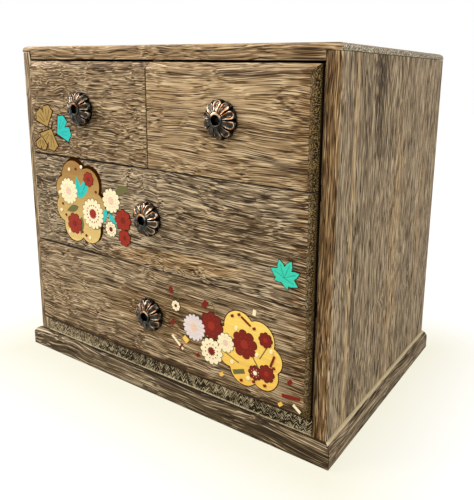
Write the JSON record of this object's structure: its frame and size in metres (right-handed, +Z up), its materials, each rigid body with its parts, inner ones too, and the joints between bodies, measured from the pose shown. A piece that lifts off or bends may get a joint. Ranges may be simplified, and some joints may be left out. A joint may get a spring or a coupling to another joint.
{
  "type": "tabletop drawer chest",
  "caption": "Small tabletop drawer chest of burnt, brushed paulownia: half-width drawers over full-width ones, chrysanthemum knobs, moulded plinth; the drawers slide out to hold trinkets.",
  "frame": {"origin": "on the floor under the middle of the outline, knobs included", "axes": "+X to the right along the width, seen from the front; +Y from front to back; +Z up"},
  "size_m": [0.268, 0.184, 0.235],
  "materials": {
    "burnt_paulownia": "scorched and wire-brushed, open grain, matt",
    "plain_paulownia": "planed, unfinished, matt",
    "antiqued_copper": "black patina rubbed back to copper on the ridges",
    "blackened_steel": "black oxide",
    "print_colours": "screen-printed gold, red, cream and teal, satin"
  },
  "bodies": {
    "case": {"top_board": "burnt_paulownia", "left_side": "burnt_paulownia", "right_side": "burnt_paulownia", "bottom_board": "burnt_paulownia", "back_panel": "burnt_paulownia", "lower_shelf": "plain_paulownia", "upper_shelf": "plain_paulownia", "drawer_divider": "plain_paulownia", "base_front": "burnt_paulownia", "base_left": "burnt_paulownia", "base_right": "burnt_paulownia", "base_back": "burnt_paulownia"},
    "upper_left_drawer": {"upper_left_drawer_front": "burnt_paulownia", "upper_left_drawer_left_side": "plain_paulownia", "upper_left_drawer_right_side": "plain_paulownia", "upper_left_drawer_back": "plain_paulownia", "upper_left_drawer_bottom": "plain_paulownia", "upper_left_drawer_knob": "antiqued_copper", "upper_left_drawer_knob_screw": "blackened_steel"},
    "upper_right_drawer": {"upper_right_drawer_front": "burnt_paulownia", "upper_right_drawer_left_side": "plain_paulownia", "upper_right_drawer_right_side": "plain_paulownia", "upper_right_drawer_back": "plain_paulownia", "upper_right_drawer_bottom": "plain_paulownia", "upper_right_drawer_knob": "antiqued_copper", "upper_right_drawer_knob_screw": "blackened_steel"},
    "middle_drawer": {"middle_drawer_front": "burnt_paulownia", "middle_drawer_left_side": "plain_paulownia", "middle_drawer_right_side": "plain_paulownia", "middle_drawer_back": "plain_paulownia", "middle_drawer_bottom": "plain_paulownia", "middle_drawer_knob": "antiqued_copper", "middle_drawer_knob_screw": "blackened_steel"},
    "lower_drawer": {"lower_drawer_front": "burnt_paulownia", "lower_drawer_left_side": "plain_paulownia", "lower_drawer_right_side": "plain_paulownia", "lower_drawer_back": "plain_paulownia", "lower_drawer_bottom": "plain_paulownia", "lower_drawer_knob": "antiqued_copper", "lower_drawer_knob_screw": "blackened_steel"}
  },
  "joints": [
    {"name": "upper_left_drawer_slide", "type": "slide", "parent": "case", "child": "upper_left_drawer", "axis": [0, -1, 0], "range_m": [0, 0.12]},
    {"name": "upper_right_drawer_slide", "type": "slide", "parent": "case", "child": "upper_right_drawer", "axis": [0, -1, 0], "range_m": [0, 0.12]},
    {"name": "middle_drawer_slide", "type": "slide", "parent": "case", "child": "middle_drawer", "axis": [0, -1, 0], "range_m": [0, 0.12]},
    {"name": "lower_drawer_slide", "type": "slide", "parent": "case", "child": "lower_drawer", "axis": [0, -1, 0], "range_m": [0, 0.12]}
  ]
}
